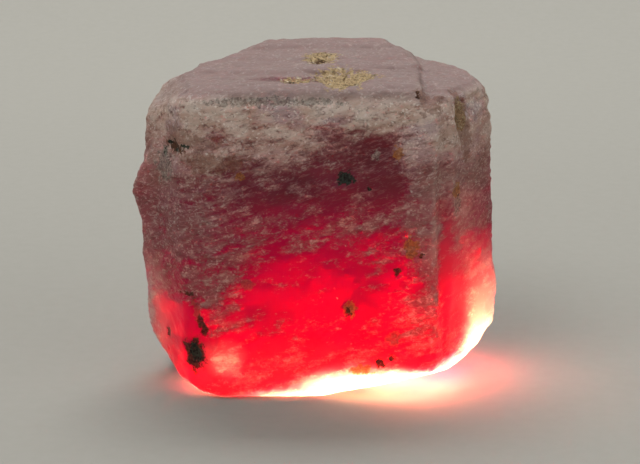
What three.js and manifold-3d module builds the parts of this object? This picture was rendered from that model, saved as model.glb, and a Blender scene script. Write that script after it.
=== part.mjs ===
// A raw ruby crystal: one stout, six-sided prism of corundum, as it came out of the rock.
//
// The prism stands on its broken base with its c axis upright. Its six side faces turn 60 degrees from one
// to the next, but each grew to its own distance from the axis, so three of them are broad and three narrow.
// A flat growth face with low terraces closes the top. A growth ledge sticks out on the left, a groove runs
// down beside the front right edge, and the lower edges are chipped where the crystal broke away.
// It grew as one piece, so it is one solid.
//
// Millimetres. +Z is up, along the c axis. The broadest side face looks along -Y, and +X is to its right.
// The origin is at the middle of the bounding box's underside.

import * as THREE from "three";
import { ConvexGeometry } from "three/addons/geometries/ConvexGeometry.js";
import { mergeVertices } from "three/addons/utils/BufferGeometryUtils.js";
import Module from "manifold-3d";

const wasm = await Module();
wasm.setup();

// ---------------------------------------------------------------- driving dimensions

const HEIGHT = 31.0; // from the base to the top growth face
const TOP_ROUND = 2.4; // how far the worn top edge is rounded
const BASE_ROUND = 1.2; // the same at the base
const ARC_STEPS = 6; // points on each rounded edge
const STOREY_OVERLAP = 0.1; // how far one storey of the prism reaches into the one below it
const TERRACES = [0.4, 0.75, 1.1]; // heights of the growth terraces above the top face

// The side faces, anticlockwise from the front one: the way each looks, in degrees from +X, and its distance
// from the axis. round is the radius of the upright edge between that face and the one before it.
const SIDE_FACES = [
  { name: "front", looks: -90, distance: 14.0, round: 3.2 },
  { name: "front right", looks: -30, distance: 17.2, round: 0.5 },
  { name: "back right", looks: 30, distance: 14.0, round: 1.8 },
  { name: "back", looks: 90, distance: 13.4, round: 3.0 },
  { name: "back left", looks: 150, distance: 12.2, round: 2.8 },
  { name: "front left", looks: 210, distance: 17.3, round: 1.6 },
];

// How far each side face, in the same order, stands out from that distance at a few heights. Two heights
// close together make a growth step across the faces that change between them.
const LEVELS = [
  { z: 0.0, out: [-0.9, -0.6, -0.3, -0.5, -0.2, -1.0] },
  { z: 5.5, out: [-0.2, 0.0, 0.3, 0.4, 0.4, -0.5] },
  { z: 11.4, out: [0.0, 0.1, 0.4, 0.5, 0.5, -0.2] },
  { z: 12.2, out: [0.0, 0.0, -0.2, 0.4, 0.5, -0.1] },
  { z: 18.6, out: [0.0, 0.1, -0.1, 0.2, 0.3, 0.1] },
  { z: 19.3, out: [-0.1, 0.1, -0.1, -0.4, -0.2, 0.1] },
  { z: 25.0, out: [-0.2, 0.0, -0.3, -0.5, -0.4, 0.0] },
  { z: HEIGHT, out: [-0.4, -0.4, -0.6, -0.8, -0.6, -0.5] },
];

// ---------------------------------------------------------------- small tools

const radians = THREE.MathUtils.degToRad;

// A closed three.js geometry as a manifold solid.
function solidOf(geometry) {
  const bare = geometry.clone();
  bare.deleteAttribute("normal");
  bare.deleteAttribute("uv");
  const merged = mergeVertices(bare, 1e-4);
  return new wasm.Manifold(
    new wasm.Mesh({
      numProp: 3,
      vertProperties: merged.attributes.position.array,
      triVerts: new Uint32Array(merged.index.array),
    }),
  );
}

// A manifold solid as a three.js geometry.
function geometryOf(solid) {
  const mesh = solid.getMesh();
  const geometry = new THREE.BufferGeometry();
  geometry.setAttribute("position", new THREE.BufferAttribute(new Float32Array(mesh.vertProperties), 3));
  geometry.setIndex(new THREE.BufferAttribute(new Uint32Array(mesh.triVerts), 1));
  return geometry;
}

// The convex block with these corners, each [x, y, z].
function block(corners) {
  return solidOf(new ConvexGeometry(corners.map((corner) => new THREE.Vector3(...corner))));
}

// Everything on the far side of the plane through a point, as a box large enough to cut with.
function beyond(point, outward) {
  const side = 120;
  const turn = new THREE.Quaternion().setFromUnitVectors(
    new THREE.Vector3(0, 0, 1),
    new THREE.Vector3(...outward).normalize(),
  );
  const box = new THREE.BoxGeometry(side, side, side);
  box.translate(0, 0, side / 2);
  box.applyQuaternion(turn);
  box.translate(...point);
  return solidOf(box);
}

// An ellipsoid with these half sizes, leaned by angles in degrees about X, Y and Z.
function lens(centre, half, lean = [0, 0, 0]) {
  const ball = new THREE.SphereGeometry(1, 32, 20);
  ball.scale(...half);
  ball.applyQuaternion(new THREE.Quaternion().setFromEuler(new THREE.Euler(...lean.map(radians))));
  ball.translate(...centre);
  return solidOf(ball);
}

// ---------------------------------------------------------------- the prism

// How far the side faces stand out at height z, between the levels on either side of it.
function standOut(z) {
  const above = Math.max(1, LEVELS.findIndex((level) => level.z >= z));
  const [low, high] = [LEVELS[above - 1], LEVELS[above]];
  const share = THREE.MathUtils.clamp((z - low.z) / (high.z - low.z), 0, 1);
  return low.out.map((out, index) => THREE.MathUtils.lerp(out, high.out[index], share));
}

// One level section of the prism: its outline at height z moved in by inset, with rounded corners.
function section(z, inset = 0) {
  const out = standOut(z);
  const reach = SIDE_FACES.map((face, index) => face.distance + out[index] - inset);
  return SIDE_FACES.flatMap((face, index) => {
    const last = (index + SIDE_FACES.length - 1) % SIDE_FACES.length;
    const [a, b] = [radians(SIDE_FACES[last].looks), radians(face.looks)];
    const [p, q] = [reach[last] - face.round, reach[index] - face.round];
    const x = (p * Math.sin(b) - q * Math.sin(a)) / Math.sin(b - a);
    const y = (q * Math.cos(a) - p * Math.cos(b)) / Math.sin(b - a);
    return Array.from({ length: ARC_STEPS + 1 }, (_, step) => {
      const angle = a + ((b - a) * step) / ARC_STEPS;
      return new THREE.Vector3(x + face.round * Math.cos(angle), y + face.round * Math.sin(angle), z);
    });
  });
}

// Sections that round an edge off, from the upright side towards a level face at height z. up is 1 or -1.
function roundedEnd(z, radius, up) {
  return Array.from({ length: ARC_STEPS + 1 }, (_, step) => {
    const angle = (Math.PI / 2) * (step / ARC_STEPS);
    return section(z - up * radius * (1 - Math.sin(angle)), radius * (1 - Math.cos(angle)));
  }).flat();
}

// The prism, one storey for each pair of levels. Each storey starts a little inside the one below.
function prism() {
  const storeys = LEVELS.slice(1).map((level, index) => {
    const sill = LEVELS[index].z;
    const root = section(sill - STOREY_OVERLAP, STOREY_OVERLAP);
    const foot = index === 0 ? roundedEnd(0, BASE_ROUND, -1) : [...root, ...section(sill)];
    const head = level.z === HEIGHT ? roundedEnd(HEIGHT, TOP_ROUND, 1) : section(level.z);
    return solidOf(new ConvexGeometry([...foot, ...head]));
  });
  return wasm.Manifold.union(storeys);
}

// ---------------------------------------------------------------- what grew on it

// A low growth terrace: a plate with these corners in plan, a little smaller at its top.
function terrace(outline, rise) {
  return block(
    outline.flatMap(([x, y]) => [
      [x, y, HEIGHT - 1],
      [x * 0.96, y * 0.96 + 0.2, HEIGHT + rise],
    ]),
  );
}

// Three terraces on the top face, one on the other, set back from the front edge.
function terraces() {
  const lower = [
    [-12.4, -4.6], [-5.0, -7.4], [6.4, -5.6], [11.2, -3.4],
    [11.7, 1.6], [8.2, 8.6], [-6.4, 9.6], [-12.0, 0.2],
  ];
  const middle = [[-9.6, 0.6], [-1.0, -1.6], [8.6, -0.6], [10.2, 2.6], [7.9, 8.6], [-5.8, 9.0]];
  const upper = [[-6.4, 4.6], [2.2, 3.4], [8.2, 4.2], [7.6, 8.6], [-4.8, 8.8]];
  const plates = [lower, middle, upper].map((outline, index) => terrace(outline, TERRACES[index]));
  return wasm.Manifold.union(plates);
}

// A blunt growth ledge that sticks out of the left edge a little above the waist.
function leftLedge() {
  return block([
    [-15.6, -8.2, 24.8], [-14.6, -1.0, 24.6], [-17.2, -6.4, 21.6], [-16.8, -3.4, 21.4],
    [-17.9, -6.6, 19.6], [-17.5, -3.8, 19.4], [-17.2, -7.0, 17.0], [-16.6, -3.0, 16.8],
    [-15.6, -7.8, 13.4], [-14.8, -1.2, 13.2], [-12.0, -6.0, 24.8], [-12.0, -6.0, 13.4],
  ]);
}

// A smaller prism that grew beside the main one and makes up its right edge.
function rightLobe() {
  return block([
    [12.9, -11.9, 30.0], [16.5, -5.0, 29.9], [15.5, 1.6, 30.5], [12.4, 5.4, 30.6],
    [13.3, -12.3, 27.6], [17.6, -4.9, 26.6], [16.4, 1.4, 27.8],
    [13.3, -12.3, 21.6], [17.4, -4.8, 22.4], [17.7, -4.6, 18.4],
    [13.3, -12.2, 9.2], [17.7, -4.9, 12.4], [18.3, -4.5, 10.0], [17.9, -4.8, 5.4],
    [13.1, -12.0, 3.6], [16.0, 1.2, 5.4], [9.0, -4.0, 30.2], [9.0, -4.0, 6.0],
  ]);
}

// A thin plate that overgrew the lower back left face.
function backPlate() {
  return block([
    [-15.2, -3.6, 3.4], [-6.4, 12.1, 3.6], [-14.6, -2.4, 12.8], [-12.2, 1.8, 15.6], [-7.8, 9.4, 14.2],
    [-15.9, -2.8, 4.6], [-7.2, 12.0, 5.0], [-15.1, -1.8, 11.6], [-12.6, 2.2, 14.2], [-8.6, 9.0, 12.8],
    [-9.0, 2.0, 9.0],
  ]);
}

// ---------------------------------------------------------------- what broke or dissolved away

// Chipped edges: each is a plane that the crystal parted on, through a point, looking outwards.
const CHIPS = [
  { name: "front left foot", point: [-12.8, -11.7, 1.7], outward: [-0.62, -0.3, -0.9] },
  { name: "left foot", point: [-15.9, -7.0, 4.0], outward: [-0.9, -0.15, -0.75] },
  { name: "front right underside", point: [5.6, -11.6, 0.9], outward: [0.24, -0.36, -1] },
  { name: "right underside", point: [12.9, -9.0, 1.9], outward: [0.55, -0.1, -0.95] },
  { name: "right foot", point: [17.5, -5.0, 4.7], outward: [0.98, -0.1, -0.85] },
  { name: "back right foot", point: [12.2, 5.6, 2.2], outward: [0.62, 0.4, -0.8] },
  { name: "back foot", point: [0.0, 12.6, 1.2], outward: [-0.05, 0.8, -0.9] },
  { name: "back left foot", point: [-11.2, 4.6, 2.0], outward: [-0.7, 0.42, -0.85] },
  { name: "left shoulder", point: [-14.9, -7.6, 28.3], outward: [-0.72, -0.16, 0.7] },
  { name: "right shoulder", point: [16.9, -5.2, 29.1], outward: [0.85, -0.1, 0.75] },
];

// Shell-shaped scoops, grooves and pits.
function hollows() {
  return [
    block([
      [11.0, -16.0, 34.0], [22.0, -16.0, 34.0], [22.0, 12.0, 34.0], [9.4, 12.0, 34.0],
      [11.2, -16.0, 30.3], [22.0, -16.0, 30.3], [22.0, 12.0, 30.7], [9.8, 12.0, 30.7],
    ]), // step down from the top face to the right shoulder
    lens([12.6, -13.2, 18.6], [0.7, 1.0, 12.0], [0, 0, -30]), // groove beside the front right edge
    lens([11.0, -8.6, 31.0], [0.8, 6.4, 1.2], [4, 0, 4]), // the groove's run over the top
    lens([10.8, -14.2, 31.0], [1.8, 1.8, 1.9]), // shallow dish at the groove's corner
    lens([14.7, -11.2, 28.0], [1.2, 1.2, 2.6], [0, 8, -30]), // long dish under the right shoulder
    lens([-14.6, -11.2, 24.6], [1.6, 1.4, 1.5], [0, 0, 20]), // pit high on the front left edge
    lens([2.6, -8.6, 32.0], [3.6, 3.6, 1.5], [8, 0, -15]), // dish in the top face, deeper towards the front
    lens([18.9, -6.8, 13.8], [1.5, 3.4, 1.9], [0, 0, -25]), // scoop in the right edge
    lens([4.6, 15.2, 8.6], [5.2, 2.2, 4.2], [12, 0, 0]), // shell-shaped scoop in the back face
  ];
}

// ---------------------------------------------------------------- the crystal

function crystal() {
  let solid = wasm.Manifold.union([prism(), terraces(), leftLedge(), rightLobe(), backPlate()]);
  for (const chip of CHIPS) solid = solid.subtract(beyond(chip.point, chip.outward));
  for (const hollow of hollows()) solid = solid.subtract(hollow);
  return solid;
}

// The material of a frosted, purplish grey natural surface.
const frostedRuby = new THREE.MeshStandardMaterial({ color: 0x86666a, roughness: 0.55, metalness: 0 });

const stone = new THREE.Mesh(geometryOf(crystal()), frostedRuby);
stone.name = "ruby_crystal";

// Put the origin at the middle of the bounding box's underside.
const extent = new THREE.Box3().setFromObject(stone);
const middle = extent.getCenter(new THREE.Vector3());
stone.position.set(-middle.x, -middle.y, -extent.min.z);

const rubyCrystal = new THREE.Group();
rubyCrystal.add(stone);

export default rubyCrystal;
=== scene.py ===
"""A raw ruby crystal: rough, frosted corundum with clear wine-red windows, lit through its base by a lamp.

The crystal is one piece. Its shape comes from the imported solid, which is remeshed finely and then given
the skin that such a crystal grows and wears: growth steps, striations, pits and a chalky crust.
A second piece holds the flakes of mica that cling in its pits. Sizes in this script are in millimetres
unless a name says otherwise, and MM turns them to metres.
"""

import math
from functools import partial
from itertools import product

import bmesh
import bpy
import numpy as np
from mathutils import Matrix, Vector


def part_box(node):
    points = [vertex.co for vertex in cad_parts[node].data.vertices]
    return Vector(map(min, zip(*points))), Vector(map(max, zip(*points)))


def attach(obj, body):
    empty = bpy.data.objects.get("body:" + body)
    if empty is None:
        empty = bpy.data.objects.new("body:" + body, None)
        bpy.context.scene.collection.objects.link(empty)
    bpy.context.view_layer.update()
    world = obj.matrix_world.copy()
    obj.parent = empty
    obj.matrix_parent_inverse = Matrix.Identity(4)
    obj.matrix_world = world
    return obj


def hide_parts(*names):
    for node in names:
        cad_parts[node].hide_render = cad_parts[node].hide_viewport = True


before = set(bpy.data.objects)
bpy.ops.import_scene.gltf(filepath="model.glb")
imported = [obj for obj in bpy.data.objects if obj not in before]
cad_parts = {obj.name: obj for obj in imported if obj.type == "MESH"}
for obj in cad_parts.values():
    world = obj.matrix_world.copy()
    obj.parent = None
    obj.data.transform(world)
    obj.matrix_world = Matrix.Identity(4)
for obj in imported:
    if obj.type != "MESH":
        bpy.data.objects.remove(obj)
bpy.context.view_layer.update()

MM = 0.001
CRYSTAL = "ruby_crystal"
LOW, HIGH = (np.array(corner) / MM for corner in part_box(CRYSTAL))
MIDDLE = (LOW + HIGH) / 2

# ------------------------------------------------------------------ small tools


def linear(hex_colour):
    """An sRGB colour such as "#8a2030" as linear RGBA."""
    channels = [int(hex_colour[i:i + 2], 16) / 255 for i in (1, 3, 5)]
    return (*[c / 12.92 if c <= 0.04045 else ((c + 0.055) / 1.055) ** 2.4 for c in channels], 1.0)


def add(tree, kind, links=(), out=0, **settings):
    """Adds a node and returns its output called out. links gives its inputs, in order or by name: each is
    a value or another node's output."""
    node = tree.nodes.new(kind)
    for name, value in settings.items():
        setattr(node, name, value)
    for name, value in links.items() if isinstance(links, dict) else enumerate(links):
        if isinstance(value, bpy.types.NodeSocket):
            tree.links.new(value, node.inputs[name])
        else:
            node.inputs[name].default_value = value
    return node.outputs[out] if node.outputs else None


def rise(low, high, value):
    """0 below low, 1 above high, and a smooth curve between them."""
    share = np.clip((value - low) / (high - low), 0, 1)
    return share * share * (3 - 2 * share)


SLOPES = 4096  # how many random slopes the noise picks from
MIXERS = (73856093, 19349663, 83492791)  # large primes, so that neighbouring cells get unlike slopes


def noise(points, size, seed):
    """Smooth noise, about -1 to 1. size is the distance in mm from one bump to the next, one number or one
    for each axis."""
    table = np.random.default_rng(seed).normal(size=(SLOPES, 3))
    table /= np.linalg.norm(table, axis=1, keepdims=True)
    scaled = points / np.array(size)
    cell = np.floor(scaled).astype(np.int64)
    local = scaled - cell
    fade = local**3 * (local * (local * 6 - 15) + 10)
    total = np.zeros(len(points))
    for corner in product((0, 1), repeat=3):
        mixed = (cell + corner) * MIXERS
        slope = table[(mixed[:, 0] ^ mixed[:, 1] ^ mixed[:, 2]) % SLOPES]
        weight = np.where(corner, fade, 1 - fade).prod(axis=1)
        total += weight * ((local - corner) * slope).sum(axis=1)
    return total * 1.8


def rough(points, size, seed, octaves=3):
    """Noise with finer noise on it, about -1 to 1."""
    layers = [noise(points, np.array(size) / 2**k, seed + k) / 2**k for k in range(octaves)]
    return sum(layers) / (2 - 2.0 ** (1 - octaves))


def ridges(points, size, seed, octaves=2):
    """0 in broad hollows, 1 along sharp crests."""
    return 1 - np.minimum(1, np.abs(rough(points, size, seed, octaves)) * 2.2)


def positions(mesh):
    """A mesh's vertices, in mm."""
    flat = np.empty(len(mesh.vertices) * 3)
    mesh.vertices.foreach_get("co", flat)
    return flat.reshape(-1, 3) / MM


def normals(mesh):
    """The way each of a mesh's vertices faces."""
    flat = np.empty(len(mesh.vertices) * 3)
    mesh.vertex_normals.foreach_get("vector", flat)
    return flat.reshape(-1, 3)


# ------------------------------------------------------------------ the crystal's shape

SAME_PLACE = 0.002  # corners of the solid's triangles that lie this close are one corner
VOXEL = 0.245  # size of the remeshed skin's squares
SOFTEN_STEPS = 12  # rounds of smoothing that take the remesh's stair steps off
ROUNDING_STEPS = 120  # rounds of smoothing that find which way the skin bulges
GRAIN_TILT = 0.17  # growth lines rise by this much for each mm towards +X
DASH_STEEPNESS = 2.2  # dashes of crust rise this many times as fast as the growth lines
DOME_RISE, DOME_CENTRE, DOME_REACH = 0.35, 3.0, 11.0  # the top face is a little higher along its middle

# What is on the skin, where, its half sizes, how deep it is sunk and what fills it.
MARKS = [
    # the top
    ("mica pocket", (2.4, -8.6, 31.0), (2.3, 3.2, 1.8), 0.45, "mica"),
    ("mica pocket's right end", (4.4, -7.4, 31.0), (1.9, 1.4, 1.2), 0.25, "mica"),
    ("mica pocket's near end", (2.2, -11.0, 30.8), (1.2, 1.4, 1.2), 0.30, "mica"),
    ("olive spot", (0.5, -1.2, 31.7), (1.6, 2.4, 1.2), 0.20, "mica"),
    ("olive spot's pit", (0.4, -2.4, 31.4), (0.8, 1.0, 0.8), 0.25, "umber"),
    ("small pit", (-1.9, -9.7, 31.0), (1.3, 1.4, 0.9), 0.35, "mica"),
    ("small pit's dark floor", (-2.3, -9.9, 31.0), (0.8, 0.9, 0.8), 0.10, "umber"),
    ("nick", (-13.6, -6.4, 28.9), (0.6, 0.35, 0.3), 0.20, "umber"),
    ("sparkling seam", (-6.0, -13.2, 29.8), (4.4, 0.5, 0.45), 0.08, "grit"),
    ("sparkling seam's right end", (-1.0, -13.3, 29.8), (3.4, 0.5, 0.35), 0.08, "grit"),
    # the right shoulder and side
    ("reddish pit", (10.7, -12.4, 29.4), (1.4, 1.4, 1.4), 0.30, "rust"),
    ("reddish pit's left edge", (9.7, -12.4, 29.9), (0.22, 0.6, 0.7), 0.08, "umber"),
    ("brown recess, upper end", (13.5, -9.8, 29.8), (0.7, 1.0, 0.8), 0.20, "rust"),
    ("brown recess", (14.0, -9.9, 28.2), (1.0, 1.4, 1.9), 0.30, "rust"),
    ("mica in the recess", (14.0, -9.9, 28.0), (0.75, 1.0, 1.7), 0.10, "mica"),
    ("brown recess, lower part", (14.5, -9.9, 26.2), (0.8, 1.2, 1.5), 0.25, "rust"),
    ("brown recess, tail", (14.8, -9.9, 24.4), (0.5, 1.0, 1.3), 0.15, "rust"),
    ("orange spot on the side", (13.8, -11.3, 20.8), (0.6, 0.8, 0.9), 0.08, "ochre"),
    ("pale spot under it", (13.9, -11.2, 19.4), (0.5, 0.8, 0.8), 0.05, "grit"),
    # the front, from the top down
    ("dark hollow", (-14.1, -9.9, 25.1), (0.32, 0.6, 0.25), 0.25, "ink"),
    ("dark hollow's right end", (-12.4, -12.5, 25.3), (0.40, 0.6, 0.22), 0.20, "ink"),
    ("dark hollow's lower end", (-14.5, -9.5, 24.2), (0.25, 0.5, 0.45), 0.15, "ink"),
    ("dark hollow's middle", (-13.4, -11.0, 24.7), (0.30, 0.5, 0.25), 0.10, "ink"),
    ("dark hollow's brown rim", (-13.4, -11.2, 25.8), (2.4, 2.2, 1.5), 0.20, "rust"),
    ("dark hollow's brown floor", (-13.4, -11.1, 25.0), (1.7, 1.6, 0.5), 0.10, "umber"),
    ("rusty streak beside it", (-10.9, -13.2, 25.7), (2.2, 1.6, 0.7), 0.08, "rust"),
    ("grit under the hollow", (-14.6, -9.4, 22.8), (1.3, 1.6, 1.5), 0.08, "grit"),
    ("rusty patch", (-9.6, -13.4, 23.9), (3.0, 2.0, 1.0), 0.05, "rust"),
    ("ochre spot", (-7.1, -13.8, 22.7), (0.5, 0.6, 0.4), 0.05, "ochre"),
    ("green-black grain", (3.0, -13.9, 22.6), (0.8, 0.7, 0.7), 0.30, "ink"),
    ("black grain", (5.1, -13.9, 21.5), (0.3, 0.4, 0.25), 0.15, "ink"),
    ("orange spot", (7.9, -13.9, 24.9), (0.5, 0.6, 0.75), 0.08, "ochre"),
    ("sparkling spot", (5.8, -13.9, 24.8), (0.45, 0.5, 0.6), 0.05, "grit"),
    ("ochre patch", (9.3, -14.0, 15.6), (0.7, 0.7, 1.2), 0.08, "ochre"),
    ("black grain beside it", (10.2, -14.0, 15.0), (0.18, 0.4, 0.25), 0.10, "umber"),
    ("brown grain", (3.4, -13.9, 9.5), (0.55, 0.6, 0.95), 0.15, "ochre"),
    ("brown grain's dark core", (3.3, -13.9, 9.2), (0.35, 0.5, 0.6), 0.15, "umber"),
    ("brown specks low down", (7.7, -13.8, 6.4), (0.9, 0.6, 0.7), 0.10, "rust"),
    ("brown notch", (7.9, -13.9, 13.4), (0.45, 0.5, 0.4), 0.12, "umber"),
    ("brown nick over the edge", (6.3, -13.6, 3.9), (0.45, 0.5, 0.45), 0.20, "umber"),
    ("brown nick over the edge", (7.5, -13.6, 4.5), (0.35, 0.5, 0.40), 0.12, "umber"),
    ("ochre crust over the edge", (4.6, -13.6, 3.2), (1.1, 0.5, 0.5), 0.10, "ochre"),
    ("crack, upper end", (-12.4, -12.4, 10.7), (0.8, 0.6, 0.25), 0.20, "umber"),
    ("crack", (-11.7, -12.8, 9.9), (0.22, 0.5, 0.8), 0.22, "rust"),
    ("crack", (-11.4, -12.9, 8.9), (0.40, 0.5, 0.8), 0.22, "rust"),
    ("crack", (-11.1, -13.1, 8.1), (0.35, 0.5, 0.6), 0.22, "umber"),
    ("crack, lower end", (-10.6, -13.3, 7.3), (0.35, 0.5, 0.6), 0.25, "umber"),
    ("large dark grain", (-11.7, -12.5, 4.6), (0.60, 0.8, 1.1), 0.35, "ink"),
    ("large dark grain's brown rim", (-11.7, -12.5, 4.6), (1.1, 1.1, 1.8), 0.25, "umber"),
    ("dark speck", (-14.5, -8.6, 5.7), (0.30, 0.5, 0.6), 0.10, "umber"),
    ("brown specks", (-6.4, -13.9, 12.1), (0.6, 0.6, 0.5), 0.12, "rust"),
    # the sides and the back
    ("dark hollow", (-9.6, 8.2, 22.4), (1.6, 1.6, 1.2), 0.40, "ink"),
    ("mica pocket", (-11.4, 4.4, 14.6), (1.4, 2.2, 1.8), 0.35, "mica"),
    ("brown grain", (-8.7, 9.2, 8.3), (0.8, 0.8, 1.1), 0.30, "umber"),
    ("rusty patch", (-5.0, 13.2, 19.6), (2.6, 1.4, 1.6), 0.10, "rust"),
    ("mica pocket", (3.4, 13.6, 22.8), (2.6, 1.2, 1.1), 0.35, "mica"),
    ("black grain", (-1.2, 13.6, 12.4), (0.7, 0.8, 0.6), 0.30, "ink"),
    ("rusty patch", (10.8, 8.6, 20.2), (1.8, 2.4, 2.6), 0.12, "rust"),
    ("dark hollow", (12.8, 4.8, 24.2), (1.3, 1.6, 1.0), 0.35, "ink"),
    ("brown grain", (12.2, 6.0, 10.6), (0.8, 0.9, 1.2), 0.30, "umber"),
    ("ochre patch", (16.6, -3.4, 15.2), (1.0, 1.6, 1.3), 0.12, "ochre"),
    ("black grain", (15.8, -1.4, 22.6), (0.6, 0.7, 0.6), 0.25, "ink"),
    ("brown specks", (-15.6, -3.2, 9.4), (0.8, 0.9, 0.7), 0.15, "umber"),
]

# Where the crust lies thicker, or thinner with a minus, than elsewhere: centre, half sizes and amount.
CRUST_PATCHES = [
    ((-3.6, -8.9, 31.0), (4.6, 1.0, 1.0), -0.55),  # reddish line on the top face
    ((4.2, -13.9, 23.6), (5.6, 3.0, 3.8), -0.40),  # dark window high on the front
    ((-5.0, -13.9, 22.6), (5.5, 3.0, 2.4), -0.24),  # and its left end
    ((-4.0, -13.9, 20.4), (4.5, 3.0, 1.6), -0.12),  # and below that end
    ((-2.0, -13.9, 11.0), (8.5, 3.0, 4.5), -0.12),  # broad window low on the front
    ((-11.0, -13.0, 15.2), (4.4, 4.0, 4.6), 0.34),  # crust that hangs down the front's left edge
    ((-16.0, -5.0, 17.0), (3.0, 9.0, 7.0), 0.42),  # and covers the left side's middle
    ((-9.2, -13.6, 9.2), (2.2, 2.0, 2.6), 0.34),  # the lower tip of the crust on the front's left
    ((10.8, -13.9, 17.5), (1.7, 2.5, 9.0), 0.26),  # frosted strip beside the right edge
    ((10.2, -13.9, 8.0), (2.4, 2.5, 5.0), 0.20),  # its fainter lower end
    ((15.6, -8.0, 20.0), (3.4, 5.0, 8.0), 0.22),  # upper side of the lobe
    ((12.9, -12.4, 14.5), (0.9, 1.8, 6.0), -0.24),  # wet red groove between the strip and the lobe
    ((-13.6, -10.6, 5.2), (3.4, 4.0, 4.0), -0.75),  # fresh break at the left foot
    ((-8.8, -13.6, 4.4), (1.6, 1.5, 1.6), 0.20),  # pale island beside it
    ((-16.4, -6.6, 4.8), (1.3, 2.6, 4.0), 0.20),  # crust on the left edge of the break
]

# Where the crystal is milky, so that white light gets through it too: centre, half sizes and amount.
MILKY_PATCHES = [
    ((16.8, -6.6, 7.6), (3.4, 5.0, 4.8), 1.0),  # the lobe's lower end
    ((15.2, -8.6, 7.0), (3.0, 4.0, 8.0), 0.3),  # and a haze round it
    ((13.5, -11.0, 17.0), (4.5, 4.0, 5.0), 0.16),  # a faint haze further up
    ((12.4, -10.8, 2.4), (4.0, 3.5, 1.6), 0.45),  # from the lobe to the front
    ((5.4, -13.2, 1.2), (6.5, 3.0, 2.3), 1.0),  # the front's lower edge
    ((-2.0, -13.2, 0.3), (4.5, 3.0, 1.1), 0.6),  # and its left end
    ((-1.0, -13.4, 2.2), (14.0, 3.0, 3.0), 0.15),  # a faint haze above it
    ((9.0, -10.5, 0.2), (6.0, 3.5, 0.8), 0.8),  # the base's rim on the right
    ((-11.5, -8.5, 0.2), (4.0, 4.5, 0.8), 0.4),  # and on the left
    ((-8.8, -13.6, 4.2), (1.8, 1.8, 1.8), 0.65),  # a pale island near the left foot
    ((-16.2, -5.0, 6.0), (2.4, 5.0, 6.0), 0.55),  # the left side's foot
    ((14.0, -2.0, 0.2), (4.5, 6.0, 0.9), 0.8),  # the base's rim under the lobe's flank
]

# Where the skin swells out: centre, half sizes and height.
SWELLINGS = [
    ((17.0, -6.0, 7.0), (3.2, 5.0, 3.4), 0.50),  # the lobe's belly
    ((15.8, -8.0, 3.0), (2.6, 3.0, 2.2), 0.30),  # and its foot
]

# Clear crystal low down turns cloudy higher up. The windows' bright red low down is partly that clear crystal
# and partly painted glow from the lamp under the base.
CLEAR_BELOW, CLOUDY_ABOVE = 15, 26  # heights between which clear crystal turns cloudy
# the crust turns pale towards the top: partly paler crust and partly painted light, standing in for light
# from above on the band under the top edge
PALE_ABOVE, PALE_FULL = 22.5, 28.5  # heights between which the crust turns pale
FLAKES_ABOVE = 1  # height under which no flakes cling
LONE_FLAKES = 0.0018  # how thick mica flakes lie on plain crust, as a share of how thick they lie in a pocket


def merged_copy(cad_object):
    """A CAD node's mesh with its loose triangles joined up."""
    mesh = cad_object.data.copy()
    shape = bmesh.new()
    shape.from_mesh(mesh)
    bmesh.ops.remove_doubles(shape, verts=shape.verts, dist=SAME_PLACE * MM)
    shape.to_mesh(mesh)
    shape.free()
    return mesh


def finished(thing):
    """What an object's modifiers make of it, as a plain mesh."""
    evaluated = thing.evaluated_get(bpy.context.evaluated_depsgraph_get())
    return bpy.data.meshes.new_from_object(evaluated)


def fine_shape(cad_object):
    """The solid's shape in even squares, and the same shape much rounded, as two meshes."""
    draft = bpy.data.objects.new("draft", merged_copy(cad_object))
    bpy.context.scene.collection.objects.link(draft)
    remesh = draft.modifiers.new("squares", "REMESH")
    remesh.mode = "VOXEL"
    remesh.voxel_size = VOXEL * MM
    soften = draft.modifiers.new("soften", "SMOOTH")
    soften.iterations = SOFTEN_STEPS
    fine = finished(draft)
    soften.iterations = ROUNDING_STEPS
    rounded = finished(draft)
    bpy.data.objects.remove(draft)
    return fine, rounded


def nearness(points, centre, half, seed, ragged=0.5):
    """1 in the middle of an egg of these half sizes, 0.5 near its ragged border, 0 well outside it."""
    distance = np.linalg.norm((points - centre) / half, axis=1)
    return rise(1.6, 0.4, distance + ragged * rough(points, min(half) * 0.9, seed))


def along_growth(points, steeper=1.0):
    """Points sheared so that the growth lines, or lines this many times steeper, are level."""
    level = points.copy()
    level[:, 2] -= steeper * GRAIN_TILT * points[:, 0]
    return level


def relief(points, facing, cover):
    """How far the skin stands out, in mm, from the smooth shape. facing is the way each place looks when the
    small bumps are left out. Each layer is a height times a pattern, whose two numbers are its size and its
    seed."""
    level = along_growth(points)
    top = rise(0.55, 0.9, facing[:, 2])
    side = 1 - rise(0.4, 0.8, np.abs(facing[:, 2]))
    crusted = rise(0.2, 0.8, cover)
    broad = 0.28 * rough(points, 7.5, 10)
    dome = DOME_RISE * top * (1 - ((points[:, 0] - DOME_CENTRE) / DOME_REACH) ** 2)
    steps = noise(level, (11, 11, 3.2), 20) * 3
    ledges = 0.13 * (np.floor(steps) + rise(0.35, 0.65, steps % 1) - steps)
    striae = 0.09 * (ridges(level, (4.0, 4.0, 0.8), 30) - 0.5)
    fine_striae = 0.045 * rough(level, (2.0, 2.0, 0.45), 40)
    hills = noise(points, (7.5, 4.2, 6.0), 50) * 2.5
    terraces = 0.16 * (np.floor(hills) + rise(0.3, 0.7, hills % 1) - hills)
    top_lines = 0.06 * (ridges(points, (6.5, 0.9, 3.0), 60) - 0.5)
    pits = -0.20 * rise(0.42, 0.66, rough(level, (1.9, 1.9, 1.1), 70))
    grain = (0.02 + 0.055 * crusted) * rough(points, 0.75, 80)
    on_side = side * (0.5 + 0.5 * crusted) * (ledges + striae + fine_striae)
    return broad + dome + on_side + top * (terraces + top_lines) + pits + grain


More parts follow.
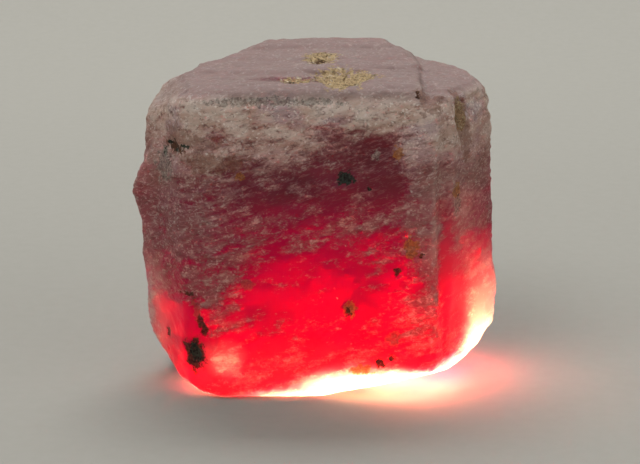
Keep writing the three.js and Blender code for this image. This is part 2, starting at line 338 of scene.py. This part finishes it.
def crust_cover(points, facing, bulge):
    """How much of the chalky crust covers the skin, about 0 to 1."""
    level, slanted = along_growth(points), along_growth(points, DASH_STEEPNESS)
    cover = 0.30 + 0.52 * rise(12, 27, points[:, 2]) + 0.2 * rise(0.5, 0.9, facing[:, 2])
    cover += 0.28 * rough(level, (6.5, 6.5, 2.6), 110)
    cover += 0.40 * rough(slanted, (2.6, 2.6, 1.0), 120) * rise(1.0, 0.6, cover)
    cover += 0.40 * np.clip(bulge, 0, 0.5)
    for seed, (centre, half, amount) in enumerate(CRUST_PATCHES):
        cover += amount * nearness(points, centre, half, 130 + seed)
    return cover


def crystal_mesh():
    """The crystal's final mesh, with what fills and covers it kept as attributes."""
    mesh, rounded = fine_shape(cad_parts[CRYSTAL])
    points, outward, facing = positions(mesh), normals(mesh), normals(rounded)
    bulge = ((points - positions(rounded)) * facing).sum(axis=1)
    cover = crust_cover(points, facing, bulge)
    depth = np.zeros(len(points))
    fills = {name: np.zeros(len(points)) for name in STAINS}
    for seed, (_, centre, half, sunk, fill) in enumerate(MARKS):
        near = nearness(points, centre, half, 200 + seed)
        depth = np.maximum(depth, near * sunk)
        fills[fill] = np.maximum(fills[fill], near)
    for seed, (centre, half, swell) in enumerate(SWELLINGS):
        depth -= swell * nearness(points, centre, half, 160 + seed, 0.15)
    milky = np.zeros(len(points))
    for seed, (centre, half, amount) in enumerate(MILKY_PATCHES):
        milky = np.maximum(milky, amount * nearness(points, centre, half, 170 + seed, 0.25))
    worn = np.where(bulge > 0, 0.12 + 0.14 * rough(points, 2.2, 90), 0.8 * rise(0, 0.5, -bulge))
    moved = points + (positions(rounded) - points) * worn[:, None]
    moved += outward * (relief(points, facing, cover) - depth)[:, None]
    moved[:, 2] = np.maximum(moved[:, 2], 0)
    mesh.vertices.foreach_set("co", (moved * MM).ravel())
    top = rise(0.3, 0.9, facing[:, 2])
    height = points[:, 2]
    unevenness = 2.0 * rough(along_growth(points), (9, 9, 5), 190)
    lone_flakes = LONE_FLAKES * cover * (1 - 0.8 * top)
    kept = {
        "crust": cover,
        "top": top,
        "bulge": bulge,
        # pale: paler crust high up, which is also painted light on the band under the top edge
        "pale": rise(0.40, 0.70, cover) * rise(PALE_ABOVE, PALE_FULL, height + unevenness),
        "milky": milky,
        # how cloudy the crystal is, rising with height; the same share fades out the glow painted into the
        # lower windows and crust
        "cloud": rise(CLEAR_BELOW, CLOUDY_ABOVE, height + unevenness),
        "flakes": np.maximum(rise(0.25, 0.6, fills["mica"]), lone_flakes) * (height > FLAKES_ABOVE),
        **fills,
    }
    for name, values in kept.items():
        mesh.attributes.new(name, "FLOAT", "POINT").data.foreach_set("value", values.astype(np.float32))
    mesh.polygons.foreach_set("use_smooth", [True] * len(mesh.polygons))
    mesh.update()
    return mesh


# ------------------------------------------------------------------ materials

MATH, MIX, CURVE = "ShaderNodeMath", "ShaderNodeMix", "ShaderNodeMapRange"

# Each fill's light and dark grains, how ragged its border is, and how much of the skin it hides at most.
STAINS = {
    "mica": ("#cdb285", "#927a54", 1.6, 0.90),
    "rust": ("#946650", "#6c4236", 2.6, 0.52),
    "ochre": ("#b67c3c", "#7e4a24", 1.5, 0.75),
    "umber": ("#63402a", "#2c140c", 2.2, 0.88),
    "ink": ("#38443c", "#121814", 1.8, 0.95),
    "grit": ("#b4aca0", "#37322c", 2.8, 0.58),
}


def new_material(name):
    """An empty material, and the tool that puts nodes in it."""
    material = bpy.data.materials.new(name)
    material.use_nodes = True
    material.node_tree.nodes.clear()
    return material, partial(add, material.node_tree)


def frosted_corundum():
    """Natural corundum, as grown and then worn in gravel: clear wine-red windows with a wet gloss, and over
    them a chalky crust of etched and bruised crystal that scatters light and hides the red."""
    material, put = new_material("frosted_corundum")
    place = put("ShaderNodeTexCoord", out="Object")
    growth, steep = math.atan(GRAIN_TILT), math.atan(DASH_STEEPNESS * GRAIN_TILT)

    # noises, with the size of their features in mm and the tilt of their level lines
    noises = {}
    for name, size, tilt, finish in [
        ("streak", (2.2, 2.2, 0.7), growth, {"Detail": 5.0, "Roughness": 0.6, "Distortion": 0.4}),
        ("felt", (0.65, 0.65, 0.38), growth, {"Detail": 4.0, "Roughness": 0.65, "Distortion": 0.6}),
        ("dash", (0.75, 0.75, 0.20), steep, {"Detail": 2.0, "Distortion": 0.8}),
        ("fleck", (2.6, 2.6, 0.9), steep, {"Detail": 5.0, "Roughness": 0.7, "Distortion": 0.5}),
        ("clot", (0.5, 0.5, 0.5), 0, {"Detail": 2.0}),
        ("frost", (2.4, 2.4, 1.3), growth, {"Detail": 3.0}),
        ("grain", (0.24, 0.24, 0.24), 0, {"Detail": 2.0}),
        ("patch", (5, 5, 3), growth, {"Detail": 4.0}),
    ]:
        scale = tuple(side * MM for side in size)
        links = {"Vector": place, "Rotation": (0, -tilt, 0), "Scale": scale}
        sized = put("ShaderNodeMapping", links, vector_type="TEXTURE")
        noises[name] = put("ShaderNodeTexNoise", {"Vector": sized, "Scale": 1.0, **finish})

    # the finest specks: painted glints of light off the crust, and grains of dirt, each with three random
    # values
    speckle_size = (0.17 * MM, 0.17 * MM, 0.17 * MM)
    sized = put("ShaderNodeMapping", {"Vector": place, "Scale": speckle_size}, vector_type="TEXTURE")
    cells = put("ShaderNodeTexVoronoi", {"Vector": sized, "Scale": 1.0}, "Color")
    speckle, dirt, tone = put("ShaderNodeSeparateColor", [cells]).node.outputs[:3]

    # how much crust there is: the skin's own value, its border broken up by streaks, flecks and grain
    skin = {
        name: put("ShaderNodeAttribute", out="Fac", attribute_name=name)
        for name in ("crust", "top", "bulge", "pale", "milky", "cloud", *STAINS)
    }
    thick = skin["crust"]
    for name, amount in [("streak", 0.7), ("fleck", 0.5), ("felt", 0.9), ("grain", 0.4)]:
        thick = put(MATH, (noises[name], amount, thick), operation="MULTIPLY_ADD")
    crust = put(CURVE, (thick, 1.50, 2.05), interpolation_type="SMOOTHSTEP")

    # where each detail shows: 0 at the first value, 1 at the second
    shows = {**skin, "side": put(MATH, (skin["top"], -0.8, 1.0), operation="MULTIPLY_ADD")}
    for name, value, none, full in [
        ("patchy", noises["patch"], 0.35, 0.65),
        ("lilac", noises["patch"], 0.50, 0.62),
        ("frosty", noises["frost"], 0.40, 0.62),
        ("pore", noises["felt"], 0.47, 0.30),
        ("sunk", noises["streak"], 0.47, 0.30),
        ("raised", noises["streak"], 0.52, 0.70),
        ("dash", noises["dash"], 0.56, 0.66),
        ("crest", noises["felt"], 0.54, 0.66),
        ("edge", skin["bulge"], 0.08, 0.5),
        ("dip", skin["bulge"], -0.08, -0.5),
        ("deep", skin["cloud"], 0.9, 0.2),
        ("speckle", speckle, 0.90, 0.97),
        ("dirt", dirt, 0.92, 0.98),
    ]:
        shows[name] = put(CURVE, (value, none, full), interpolation_type="SMOOTHSTEP")

    # Colours, laid one over another: how strongly, and where. Windows first, then the crust on them.
    # the windows stay bright red low down and turn dark wine higher up: partly clear against cloudy crystal,
    # partly painted glow from the lamp under the base
    window_layers = [
        ("#98004c", 1.0, "patchy"),
        ("#743a42", 1.0, "cloud"),
        ("#68363e", 1.0, "cloud", "patchy"),
        ("#9a7474", 0.5, "cloud", "dash"),
        ("#6e4a44", 0.8, "pale"),
    ]
    crust_layers = [
        ("#90686c", 1.0, "patchy"),
        # redder crust low down over clear crystal: partly the red showing through, partly painted glow from
        # the lamp under the base
        ("#8e4e56", 0.65, "deep"),
        # the pale band: partly paler crust, partly painted light from above on the band under the top edge
        ("#c8ab9b", 1.0, "pale"),
        ("#dccabd", 1.0, "pale", "frosty"),
        ("#a8949e", 0.6, "pale", "lilac"),
        ("#9c8682", 1.0, "top"),
        ("#6b4a42", 0.6, "side", "pore"),
        ("#634038", 0.45, "side", "sunk"),
        ("#bda79c", 0.4, "side", "raised"),
        ("#c9b6aa", 0.5, "side", "crest"),
        ("#dcc0b8", 0.14, "side", "dash"),
        ("#e2cdc2", 0.42, "side", "dash", "frosty", "cloud"),
        ("#ead9cd", 0.35, "side", "dash", "pale"),
        ("#c8b2a2", 0.4, "edge"),
        ("#5d4038", 0.5, "dip"),
        # painted glints: tiny bright specks that stand in for light glinting off the crust, stronger in the
        # pale band
        ("#f0e4da", 0.25, "side", "speckle"),
        ("#f6eee6", 0.45, "pale", "side", "speckle"),
        ("#4c3a37", 0.25, "side", "dirt"),
        ("#e0bcb0", 1.0, "milky"),
    ]
    painted = {}
    for name, base, layers in [("window", "#a80044", window_layers), ("crust", "#966a62", crust_layers)]:
        colour = linear(base)
        for tint, share, *places in layers:
            for spot in places:
                share = put(MATH, (share, shows[spot]), operation="MULTIPLY")
            colour = put(MIX, {0: share, 6: colour, 7: linear(tint)}, 2, data_type="RGBA")
        painted[name] = colour
    colour = put(MIX, {0: crust, 6: painted["window"], 7: painted["crust"]}, 2, data_type="RGBA")
    half_milky = put(MATH, (skin["milky"], 0.5), operation="MULTIPLY")
    colour = put(MIX, {0: half_milky, 6: colour, 7: linear("#e4b8aa")}, 2, data_type="RGBA")
    opaque = 0.0
    for name, (light, dark, ragged, hides) in STAINS.items():
        grains = put(MIX, {0: tone, 6: linear(dark), 7: linear(light)}, 2, data_type="RGBA")
        filled, amounts = skin[name], {"clot": ragged, "felt": 0.8, "grain": 0.9}
        for noise_name, amount in amounts.items():
            filled = put(MATH, (noises[noise_name], amount, filled), operation="MULTIPLY_ADD")
        middle = 0.5 + sum(amounts.values()) / 2
        stain = put(CURVE, (filled, middle - 0.15, middle + 0.15, 0, hides), interpolation_type="SMOOTHSTEP")
        stain = put(MATH, (stain, put(CURVE, (skin[name], 0.05, 0.20))), operation="MULTIPLY")
        colour = put(MIX, {0: stain, 6: colour, 7: grains}, 2, data_type="RGBA")
        opaque = put(MATH, (stain, opaque), operation="MAXIMUM")

    # Light goes deep in clear crystal, less deep in cloudy crystal or under crust, and not at all in grains.
    # Red goes much deeper than the rest: reach is in mm, for red, green and blue.
    depth = put(MATH, (crust, -0.62, 0.92), operation="MULTIPLY_ADD")
    under_pale = put(MATH, (skin["pale"], -0.7, 1.0), operation="MULTIPLY_ADD")
    depth = put(MATH, (depth, under_pale), operation="MULTIPLY")
    depth = put(MATH, (depth, skin["milky"]), operation="MAXIMUM")
    glassy = put(MATH, (opaque, -1.0, 1.0), operation="MULTIPLY_ADD")
    dense = put(CURVE, (noises["patch"], 0.42, 0.58, 0.35, 1.0), interpolation_type="SMOOTHSTEP")
    dense = put(MATH, (dense, skin["milky"]), operation="MAXIMUM")
    inside = put(MATH, (put(MATH, (depth, glassy), operation="MULTIPLY"), dense), operation="MULTIPLY")
    reach = put(MIX, {0: skin["cloud"], 6: (50, 1.0, 2.2, 1), 7: (50, 1.0, 1.8, 1)}, 2, data_type="RGBA")
    reach = put(MIX, {0: skin["milky"], 6: reach, 7: (50, 30, 28, 1)}, 2, data_type="RGBA")

    # the skin's relief that is too fine for its mesh, less of it on bare crystal and on the milky lobe
    rugged = put(MATH, (crust, 0.75, 0.25), operation="MULTIPLY_ADD")
    calm = put(MATH, (skin["milky"], -0.7, 1.0), operation="MULTIPLY_ADD")
    rugged = put(MATH, (rugged, calm), operation="MULTIPLY")
    bump = {}
    for name, strength, distance in [("streak", 0.5, 0.08), ("felt", 0.8, 0.13), ("grain", 0.4, 0.04)]:
        height = put(MATH, (noises[name], rugged), operation="MULTIPLY")
        links = {"Strength": strength, "Distance": distance * MM, "Height": height, **bump}
        bump = {"Normal": put("ShaderNodeBump", links)}
    # Windows are smooth and wet, crust is matt, and neither mirrors the lights as cut crystal would.
    shader = put("ShaderNodeBsdfPrincipled", {
        "Base Color": colour,
        "Roughness": put(CURVE, (crust, 0, 1, 0.30, 0.62), interpolation_type="SMOOTHSTEP"),
        "IOR": 1.77,
        "Specular IOR Level": 0.06,
        "Subsurface Weight": inside,
        "Subsurface Radius": reach,
        "Subsurface Scale": MM,
        **bump,
    })
    put("ShaderNodeOutputMaterial", {"Surface": shader})
    return material


def mica():
    """Plates of mica, pale gold where they lie together in a pocket and silvery where one lies alone."""
    material, put = new_material("mica_flakes")
    place = put("ShaderNodeTexCoord", out="Object")
    tone = put("ShaderNodeTexNoise", {"Vector": place, "Scale": 1 / (0.4 * MM), "Detail": 1.0})
    light = put(CURVE, (tone, 0.35, 0.65))
    gold = put(MIX, {0: light, 6: linear("#8a7450"), 7: linear("#c8b088")}, 2, data_type="RGBA")
    pocket = put(CURVE, (put("ShaderNodeAttribute", out="Fac", attribute_name="mica"), 0.2, 0.5))
    colour = put(MIX, {0: pocket, 6: linear("#c8bcae"), 7: gold}, 2, data_type="RGBA")
    shader = put("ShaderNodeBsdfPrincipled", {"Base Color": colour, "Roughness": 0.32, "IOR": 1.59})
    put("ShaderNodeOutputMaterial", {"Surface": shader})
    return material


def pale_paper():
    """Matt studio paper: a faint tooth keeps it from looking like plastic."""
    material, put = new_material("pale_paper")
    place = put("ShaderNodeTexCoord", out="Object")
    tooth = put("ShaderNodeTexNoise", {"Vector": place, "Scale": 1 / (1.5 * MM), "Detail": 4.0})
    colour = put(MIX, {0: tooth, 6: linear("#aeaca3"), 7: linear("#b4b2aa")}, 2, data_type="RGBA")
    bump = put("ShaderNodeBump", {"Strength": 0.1, "Distance": 0.05 * MM, "Height": tooth})
    links = {"Base Color": colour, "Roughness": 0.9, "Normal": bump}
    put("ShaderNodeOutputMaterial", {"Surface": put("ShaderNodeBsdfPrincipled", links)})
    return material


# ------------------------------------------------------------------ the pieces


def show(name, mesh, material):
    """A new object of this mesh, in the scene, with this material."""
    mesh.name = name
    mesh.materials.clear()
    mesh.materials.append(material)
    thing = bpy.data.objects.new(name, mesh)
    bpy.context.scene.collection.objects.link(thing)
    return thing


crystal = show("ruby_skin", crystal_mesh(), frosted_corundum())
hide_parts(CRYSTAL)
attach(crystal, "root")


FLAKE_SEED = 7
FLAKE_RADII = (0.05, 0.17)
FLAKE_THICKNESS = 0.15  # as a share of a flake's radius
FLAKE_LEAN = 0.7  # how far a flake may lean off the skin, in radians
FLAKES_PER_MM2 = 9.0  # in a pocket full of mica


def scatter_tree():
    """Geometry nodes that lay small six-sided plates on an object's skin, as thick as its attribute says."""
    tree = bpy.data.node_groups.new("scatter_flakes", "GeometryNodeTree")
    put = partial(add, tree)
    sockets = {
        "Skin": "NodeSocketObject", "Density": "NodeSocketFloat", "Smallest": "NodeSocketFloat",
        "Largest": "NodeSocketFloat", "Thickness": "NodeSocketFloat", "Seed": "NodeSocketInt",
        "Material": "NodeSocketMaterial",
    }
    for name, kind in sockets.items():
        tree.interface.new_socket(name, in_out="INPUT", socket_type=kind)
    tree.interface.new_socket("Geometry", in_out="OUTPUT", socket_type="NodeSocketGeometry")
    given = put("NodeGroupInput").node.outputs

    skin = put("GeometryNodeObjectInfo", {"Object": given["Skin"]}, "Geometry")
    share = put("GeometryNodeInputNamedAttribute", {"Name": "flakes"}, data_type="FLOAT")
    density = put(MATH, (share, given["Density"]), operation="MULTIPLY")
    links = {"Mesh": skin, "Density": density, "Seed": given["Seed"]}
    points = put("GeometryNodeDistributePointsOnFaces", links, "Points", distribute_method="RANDOM")
    links = {"Vertices": 6, "Side Segments": 1, "Radius": 1.0, "Depth": given["Thickness"]}
    plate = put("GeometryNodeMeshCylinder", links, "Mesh")
    leans = {"Min": (-FLAKE_LEAN, -FLAKE_LEAN, 0), "Max": (FLAKE_LEAN, FLAKE_LEAN, 3), "Seed": given["Seed"]}
    lean = put("FunctionNodeRandomValue", leans, data_type="FLOAT_VECTOR")
    lean = put("FunctionNodeEulerToRotation", [lean])
    links = {"Rotation": points.node.outputs["Rotation"], "Rotate By": lean}
    turned = put("FunctionNodeRotateRotation", links, rotation_space="LOCAL")
    links = {2: given["Smallest"], 3: given["Largest"], "Seed": given["Seed"]}
    size = put("FunctionNodeRandomValue", links, 1, data_type="FLOAT")
    links = {"Points": points, "Instance": plate, "Rotation": turned, "Scale": size}
    real = put("GeometryNodeRealizeInstances", [put("GeometryNodeInstanceOnPoints", links)])
    dressed = put("GeometryNodeSetMaterial", {"Geometry": real, "Material": given["Material"]})
    put("NodeGroupOutput", {"Geometry": dressed})
    return tree


def flakes_mesh(skin, material):
    """Flakes of mica on the skin: many in its pockets, and lone ones over its crust."""
    draft = bpy.data.objects.new("draft", bpy.data.meshes.new("draft"))
    bpy.context.scene.collection.objects.link(draft)
    tree = scatter_tree()
    values = {
        "Skin": skin, "Density": FLAKES_PER_MM2 / MM**2,
        "Smallest": FLAKE_RADII[0] * MM, "Largest": FLAKE_RADII[1] * MM, "Thickness": FLAKE_THICKNESS,
        "Seed": FLAKE_SEED, "Material": material,
    }
    modifier = draft.modifiers.new("scatter", "NODES")
    modifier.node_group = tree
    for socket in tree.interface.items_tree:
        if socket.in_out == "INPUT" and socket.name in values:
            modifier[socket.identifier] = values[socket.name]
    mesh = finished(draft)
    bpy.data.objects.remove(draft)
    return mesh


mica_material = mica()
flakes = show("mica_residue", flakes_mesh(crystal, mica_material), mica_material)
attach(flakes, "root")

# ------------------------------------------------------------------ the studio

BOWL_CENTRE_Y, BOWL_RADIUS, BOWL_CURVE, BOWL_TOP = -740, 1160, 260, 800
BOWL_BACK = BOWL_CENTRE_Y + BOWL_RADIUS
BOWL_SIDE = math.sqrt(BOWL_RADIUS**2 - BOWL_CENTRE_Y**2)  # how far off the wall is to the left and right
WALL_LIGHT_SIZE, WALL_LIGHT_HEIGHT, WALL_LIGHT_SPREAD = 500, 600, 100
WALL_LIGHT_AIM = 90  # these lights hang over the wall and look at the floor this far in front of it
BASE_LAMP_COLOUR = "#ffdfae"
ROOM_COLOUR, ROOM_STRENGTH = "#d8d6d0", 0.14  # the faint light from all round
FLOOR_GAP = 0.02  # the floor lies this far under the base, so that the two surfaces don't fight


def bowl_mesh():
    """A bowl of paper: a round floor that curves up into a wall all round."""
    steps, sides = 24, 144
    tilts = [math.pi / 2 * step / steps for step in range(steps + 1)]
    rings = [
        (BOWL_RADIUS - BOWL_CURVE * (1 - math.sin(tilt)), BOWL_CURVE * (1 - math.cos(tilt))) for tilt in tilts
    ]
    rings.append((BOWL_RADIUS, BOWL_TOP))
    turns = [2 * math.pi * side / sides for side in range(sides)]
    corners = [
        (radius * math.cos(turn) * MM, (BOWL_CENTRE_Y + radius * math.sin(turn)) * MM, (z - FLOOR_GAP) * MM)
        for radius, z in rings for turn in turns
    ]
    faces = [tuple(range(sides))]
    for ring, side in product(range(len(rings) - 1), range(sides)):
        here, beside = ring * sides + side, ring * sides + (side + 1) % sides
        faces.append((here, here + sides, beside + sides, beside))
    mesh = bpy.data.meshes.new("bowl")
    mesh.from_pydata(corners, [], faces)
    mesh.polygons.foreach_set("use_smooth", [True] * len(faces))
    return mesh


def soft_box(name, size, place, watts, aim=MIDDLE, spread_degrees=180):
    """A square soft box that looks at aim. size, place and aim are in mm."""
    light = bpy.data.lights.new(name, "AREA")
    light.size = size * MM
    light.energy = watts
    light.spread = math.radians(spread_degrees)
    lamp = bpy.data.objects.new(name, light)
    lamp.location = Vector(place) * MM
    lamp.rotation_euler = (Vector(aim) - Vector(place)).to_track_quat("-Z", "Y").to_euler()
    bpy.context.scene.collection.objects.link(lamp)
    return lamp


def base_lamp(name, centre, radius, watts):
    """A round lamp under the crystal, pointing up. It lights only the crystal, as if the paper had a hole."""
    light = bpy.data.lights.new(name, "AREA")
    light.shape = "DISK"
    light.size = 2 * radius * MM
    light.energy = watts
    light.color = linear(BASE_LAMP_COLOUR)[:3]
    lamp = bpy.data.objects.new(name, light)
    lamp.location = Vector(centre) * MM
    lamp.rotation_euler = (math.pi, 0, 0)
    lamp.visible_camera = False
    bpy.context.scene.collection.objects.link(lamp)
    lit = bpy.data.collections.new(f"{name}_lights")
    lit.objects.link(crystal)
    lit.objects.link(flakes)
    lamp.light_linking.receiver_collection = lit
    lamp.light_linking.blocker_collection = lit
    return lamp


def camera(aim, tilt_degrees, distance, field_width):
    """A camera in front of the crystal, tilted down. field_width is the width it takes in at aim."""
    lens = bpy.data.cameras.new("camera")
    lens.sensor_width = 36
    lens.lens = lens.sensor_width * distance / field_width
    lens.clip_start = 10 * MM
    lens.clip_end = 10
    view = bpy.data.objects.new("camera", lens)
    tilt = math.radians(tilt_degrees)
    view.location = (Vector(aim) + distance * Vector((0, -math.cos(tilt), math.sin(tilt)))) * MM
    view.rotation_euler = (math.pi / 2 - tilt, 0, 0)
    bpy.context.scene.collection.objects.link(view)
    bpy.context.scene.camera = view


bowl = show("bowl", bowl_mesh(), pale_paper())
soft_box("key", 260, (-190, -260, 420), 0.9)
soft_box("fill", 320, (330, -240, 200), 0.3)
for name, x, y, watts in [
    ("back_wall_light", 0, BOWL_BACK, 2.05),
    ("left_wall_light", -BOWL_SIDE, 0, 1.0),
    ("right_wall_light", BOWL_SIDE, 0, 1.0),
]:
    aim = Vector((x, y, 0)) * (1 - WALL_LIGHT_AIM / math.hypot(x, y))
    soft_box(name, WALL_LIGHT_SIZE, (x, y, WALL_LIGHT_HEIGHT), watts, aim, WALL_LIGHT_SPREAD)
for name, centre, radius, watts in [
    ("base_lamp", (2.4, -3.5, -1.0), 9.2, 0.69),
    ("lobe_lamp", (14.0, -6.6, -5.0), 2.6, 0.031),
    ("foot_lamp", (-11.0, -8.0, -1.0), 2.5, 0.011),
]:
    base_lamp(name, centre, radius, watts)
camera((0.5, 0, 13.6), tilt_degrees=15, distance=190, field_width=66)

scene = bpy.context.scene
scene.view_settings.view_transform = "Standard"
world = bpy.data.worlds.new("studio")
world.use_nodes = True
background = world.node_tree.nodes["Background"]
background.inputs["Color"].default_value = linear(ROOM_COLOUR)
background.inputs["Strength"].default_value = ROOM_STRENGTH
scene.world = world
